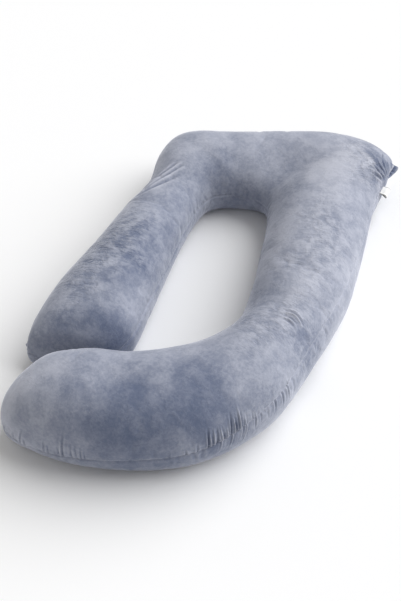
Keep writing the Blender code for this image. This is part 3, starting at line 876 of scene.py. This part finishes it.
# how large each mark of the pile is and how far it moves the tone, and how far the painted shade
# and highlight of the folds move it
PATCH = 0.130
PATCH_SHARE = 0.09
SMUDGE = 0.036
SMUDGE_SHARE = 0.09
CRUSH_SHARE = 0.20
FLECK = 0.0085
FLECK_SHARE = 0.085
RIPPLE_LONG = 0.030
RIPPLE_WIDE = 0.0075
RIPPLE_SHARE = 0.10
FOLD_SHARE = 0.17
# the single fibres are finer than this, which is as coarse as it has to be to show
GRAIN = 0.0016
# how deep the ripples, the smudges and the fibres stand
RIPPLE_DEEP = 0.0009
SMUDGE_DEEP = 0.0035
GRAIN_DEEP = 0.0006

velvet = bpy.data.materials.new("crushed_velvet")
velvet.use_nodes = True
tree = velvet.node_tree
shader = tree.nodes["Principled BSDF"]
shader.inputs["Roughness"].default_value = 0.85
shader.inputs["Specular IOR Level"].default_value = 0.2
shader.inputs["Sheen Weight"].default_value = 0.7
shader.inputs["Sheen Roughness"].default_value = 0.35
shader.inputs["Sheen Tint"].default_value = srgb("#F0F2FA")


def scaled(tree, value, low, high, bottom, top):
    """The value, carried smoothly from one range to another."""
    node = add_node(tree, "ShaderNodeMapRange", {"interpolation_type": "SMOOTHSTEP"}, Value=value,
                    From_Min=low, From_Max=high, To_Min=bottom, To_Max=top)
    return node.outputs["Result"]


def toned(tree, noise, spread, most):
    """A noise's marks from -most to most, with sharper edges for a narrower spread."""
    return scaled(tree, noise.outputs["Fac"], 0.5 - spread, 0.5 + spread, -most, most)


def combined(tree, operation, first, second):
    """Two values combined by a Math node."""
    node = add_node(tree, "ShaderNodeMath", {"operation": operation})
    for socket, value in zip(node.inputs, (first, second)):
        if isinstance(value, bpy.types.NodeSocket):
            tree.links.new(value, socket)
        else:
            socket.default_value = value
    return node.outputs["Value"]


def kept_value(tree, name):
    """A value kept at the points of the mesh under this name."""
    return add_node(tree, "ShaderNodeAttribute", {"attribute_name": name}).outputs["Fac"]


spot = add_node(tree, "ShaderNodeTexCoord").outputs["Object"]
layout = add_node(tree, "ShaderNodeUVMap", {"uv_map": "panel"}).outputs["UV"]
crinkled = kept_value(tree, "crinkled")
# wide patches of pile that lie one way or the other
patches = add_node(tree, "ShaderNodeTexNoise", Vector=spot, Scale=1 / PATCH, Detail=4.5,
                   Roughness=0.52, Distortion=0.4)
patch_tone = toned(tree, patches, 0.15, PATCH_SHARE)
# smudges a few centimetres across, strongest where the cover has been crushed
smudges = add_node(tree, "ShaderNodeTexNoise", Vector=spot, Scale=1 / SMUDGE, Detail=7.0,
                   Roughness=0.64, Distortion=0.25)
smudge = toned(tree, smudges, 0.13, 1.0)
strength = combined(tree, "ADD", SMUDGE_SHARE, combined(tree, "MULTIPLY", crinkled, CRUSH_SHARE))
smudge_tone = combined(tree, "MULTIPLY", smudge, strength)
# flecks of pile bent over in passing, all over
flecks = add_node(tree, "ShaderNodeTexNoise", Vector=spot, Scale=1 / FLECK, Detail=3.0,
                  Roughness=0.65, Distortion=0.6)
fleck_tone = toned(tree, flecks, 0.20, FLECK_SHARE)
# short fine ripples across the pillow where the cover is slack
squeezed = add_node(tree, "ShaderNodeMapping", Vector=layout,
                    Scale=(1 / RIPPLE_WIDE, 1 / RIPPLE_LONG, 1))
ripples = add_node(tree, "ShaderNodeTexNoise", Vector=squeezed.outputs["Vector"], Scale=1.0,
                   Detail=2.0, Roughness=0.55, Distortion=0.8)
ripple = combined(tree, "MULTIPLY", toned(tree, ripples, 0.20, 1.0), crinkled)

velvet_tone_and_painted_shading = combined(tree, "ADD", combined(tree, "ADD", patch_tone, smudge_tone), fleck_tone)
velvet_tone_and_painted_shading = combined(tree, "ADD", velvet_tone_and_painted_shading, combined(tree, "MULTIPLY", ripple, RIPPLE_SHARE))
# painted shade in the fold troughs and painted highlight on the ridges and seams, taken off the
# tone
shaded = combined(tree, "MULTIPLY", kept_value(tree, "folded"), FOLD_SHARE)
velvet_tone_and_painted_shading = combined(tree, "SUBTRACT", velvet_tone_and_painted_shading, shaded)
# the strokes' and the ear's painted light and shade, with the pile's own stroke tone
velvet_tone_and_painted_shading = combined(tree, "ADD", velvet_tone_and_painted_shading,
               combined(tree, "ADD", kept_value(tree, "brushed"), NAP_MIDDLE))
velvet_tone_and_painted_shading = scaled(tree, velvet_tone_and_painted_shading, *NAP_RANGE, 0.0, 1.0)
colour = add_node(tree, "ShaderNodeMix", {"data_type": "RGBA"})
tree.links.new(velvet_tone_and_painted_shading, colour.inputs["Factor"])
colour.inputs[6].default_value = srgb(NAP_DARK)
colour.inputs[7].default_value = srgb(NAP_LIGHT)
tree.links.new(colour.outputs[2], shader.inputs["Base Color"])
grain = add_node(tree, "ShaderNodeTexNoise", Vector=spot, Scale=1 / GRAIN, Detail=2.0,
                 Roughness=0.6)
ripple_bump = add_node(tree, "ShaderNodeBump", Strength=1.0, Distance=RIPPLE_DEEP,
                       Height=ripple)
smudge_bump = add_node(tree, "ShaderNodeBump", Strength=1.0, Distance=SMUDGE_DEEP,
                       Height=smudge_tone, Normal=ripple_bump.outputs["Normal"])
pile_bump = add_node(tree, "ShaderNodeBump", Strength=0.35, Distance=GRAIN_DEEP,
                     Height=grain.outputs["Fac"], Normal=smudge_bump.outputs["Normal"])
tree.links.new(pile_bump.outputs["Normal"], shader.inputs["Normal"])
pillow.data.materials.append(velvet)
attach(pillow, "root")
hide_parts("pillow")


# The care label: a bare white satin ribbon, cut to length, folded double and caught by its
# two ends in the seam below the ear. It stands out of the seam and hangs a little open.
LABEL_WIDE = 0.038
LABEL_FLAT = 0.050
LABEL_THICK = 0.0005
LABEL_TUCK = 0.005
LABEL_PLACE = place_of("corner right c") + 0.54
# its side view from one caught end round the fold to the other: how far out and how high
LABEL_OPEN = 0.0045
LABEL_LOOP = np.array([(-LABEL_TUCK, 0.0004), (0.004, 0.0012), (0.011, LABEL_OPEN * 0.8),
                       (0.017, LABEL_OPEN), (0.0205, LABEL_OPEN * 0.45),
                       (0.0208, -LABEL_OPEN * 0.3), (0.0172, -LABEL_OPEN * 0.9),
                       (0.011, -LABEL_OPEN * 0.7), (0.004, -0.0012), (-LABEL_TUCK, -0.0004)])
# it droops towards its fold, more on one side, and curls a little from side to side
LABEL_OUT = 0.02
LABEL_DROOP = 0.006
LABEL_BEND = 1.6
LABEL_LEAN = 0.5
LABEL_CURL = 0.0016
LABEL_CURLS = 7

bpy.ops.object.select_all(action="DESELECT")
bpy.ops.mesh.primitive_grid_add(x_subdivisions=24, y_subdivisions=60, size=1)
label = bpy.context.object
label.name = "care_label"
seam_line = pinched(cover_points(LABEL_PLACE + np.array([-0.02, 0, 0.02])))[:, 0]
seam_way = Vector(seam_line[2] - seam_line[0]).normalized()
seam_out = Vector((-seam_way.y, seam_way.x, 0)).normalized()
loop_gone = np.concatenate([[0], np.cumsum(np.linalg.norm(np.diff(LABEL_LOOP, axis=0), axis=1))])
for point in label.data.vertices:
    along, run = point.co.x * LABEL_WIDE, (point.co.y + 0.5) * loop_gone[-1]
    out = float(np.interp(run, loop_gone, LABEL_LOOP[:, 0]))
    rise = float(np.interp(run, loop_gone, LABEL_LOOP[:, 1]))
    droop = LABEL_DROOP * (max(0, out) / LABEL_OUT) ** LABEL_BEND * (1 + LABEL_LEAN * point.co.x)
    curl = LABEL_CURL * math.sin(LABEL_CURLS * point.co.x + 1) * max(0, out) / LABEL_OUT
    point.co = (Vector(seam_line[1]) + seam_way * along + seam_out * out
                + Vector((0, 0, rise - droop + curl)))
hem = label.modifiers.new("hem", "SOLIDIFY")
hem.thickness = LABEL_THICK
hem.offset = 0
rounder = label.modifiers.new("rounder", "SUBSURF")
rounder.levels = rounder.render_levels = 1
select_only(label)
bpy.ops.object.modifier_apply(modifier=hem.name)
bpy.ops.object.modifier_apply(modifier=rounder.name)
bpy.ops.object.shade_smooth()

# Polyester satin, woven: a smooth bright face with fine ribs across it, and a thin painted shade
# along each side edge
RIB = 0.0007
EDGE = 0.0030
EDGE_SOFT = 0.02
EDGE_SHADE = 0.7
RIB_SHADE = 0.06
# a wave is 2 pi / 20 long, so at this scale each rib is one unit wide
WAVE_UNIT = 0.314
satin = bpy.data.materials.new("polyester_satin")
satin.use_nodes = True
tree = satin.node_tree
shader = tree.nodes["Principled BSDF"]
shader.inputs["Roughness"].default_value = 0.45
shader.inputs["Sheen Weight"].default_value = 0.2
layout = add_node(tree, "ShaderNodeUVMap", {"uv_map": "UVMap"}).outputs["UV"]
sides = add_node(tree, "ShaderNodeSeparateXYZ", Vector=layout)
from_middle = combined(tree, "ABSOLUTE", combined(tree, "SUBTRACT", sides.outputs["X"], 0.5), 0)
# painted shade along both side edges of the ribbon
edge_start = 0.5 - EDGE / LABEL_WIDE
in_edge = scaled(tree, from_middle, edge_start, edge_start + EDGE_SOFT, 0.0, 1.0)
across = add_node(tree, "ShaderNodeMapping", Vector=layout, Scale=(1, LABEL_FLAT / RIB, 1))
ribs = add_node(tree, "ShaderNodeTexWave", {"bands_direction": "Y"},
                Vector=across.outputs["Vector"], Scale=WAVE_UNIT, Distortion=0.0)
shade = combined(tree, "ADD", combined(tree, "MULTIPLY", in_edge, EDGE_SHADE),
                 combined(tree, "MULTIPLY", ribs.outputs["Fac"], RIB_SHADE))
colour = add_node(tree, "ShaderNodeMix", {"data_type": "RGBA"})
tree.links.new(shade, colour.inputs["Factor"])
colour.inputs[6].default_value = srgb("#F4F4F2")
colour.inputs[7].default_value = srgb("#9C9C9A")
tree.links.new(colour.outputs[2], shader.inputs["Base Color"])
label.data.materials.append(satin)
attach(label, "root")
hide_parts("care_label")


# The studio: a plain white floor, soft light from the right and behind, and the camera
# above the foot end, a little to the right, so that the whole pillow fills the upright view.
VIEW_AZIMUTH = math.radians(15)
VIEW_HEIGHT = math.radians(47)
VIEW_DISTANCE = 2.765
VIEW_TARGET = Vector((-0.0288, -0.1075, 0.094))
LENS = 59.9
SENSOR = 36
FLOOR_SIZE = 20
SUN_STRENGTH = 3.17
SUN_SPREAD = math.radians(70)
SUN_WAY = Vector((-0.60, -0.50, -0.70))
ROOM_STRENGTH = 0.38

bpy.ops.object.select_all(action="DESELECT")
bpy.ops.mesh.primitive_plane_add(size=FLOOR_SIZE, location=(0, 0, 0))
floor = bpy.context.object
floor.name = "floor"
paper = bpy.data.materials.new("white_paper")
paper.use_nodes = True
paper.node_tree.nodes["Principled BSDF"].inputs["Base Color"].default_value = srgb("#FBFBFB")
paper.node_tree.nodes["Principled BSDF"].inputs["Roughness"].default_value = 0.9
floor.data.materials.append(paper)
floor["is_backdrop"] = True

bpy.ops.object.light_add(type="SUN", location=(1.5, 1.0, 2.0))
key_light = bpy.context.object
key_light.name = "key_light"
key_light.data.energy = SUN_STRENGTH
key_light.data.color = srgb("#FCFDFF")[:3]
key_light.data.angle = SUN_SPREAD
key_light.rotation_euler = SUN_WAY.to_track_quat("-Z", "Y").to_euler()
studio = bpy.data.worlds.new("studio")
studio.use_nodes = True
studio.node_tree.nodes["Background"].inputs["Color"].default_value = srgb("#FFFDFA")
studio.node_tree.nodes["Background"].inputs["Strength"].default_value = ROOM_STRENGTH
bpy.context.scene.world = studio
bpy.context.scene.view_settings.view_transform = "Standard"

back = Vector((math.sin(VIEW_AZIMUTH) * math.cos(VIEW_HEIGHT),
               -math.cos(VIEW_AZIMUTH) * math.cos(VIEW_HEIGHT),
               math.sin(VIEW_HEIGHT)))
bpy.ops.object.camera_add(location=VIEW_TARGET + back * VIEW_DISTANCE)
camera = bpy.context.object
camera.name = "camera"
camera.rotation_euler = (-back).to_track_quat("-Z", "Y").to_euler()
camera.data.lens = LENS
camera.data.sensor_width = SENSOR
bpy.context.scene.camera = camera

low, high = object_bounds()
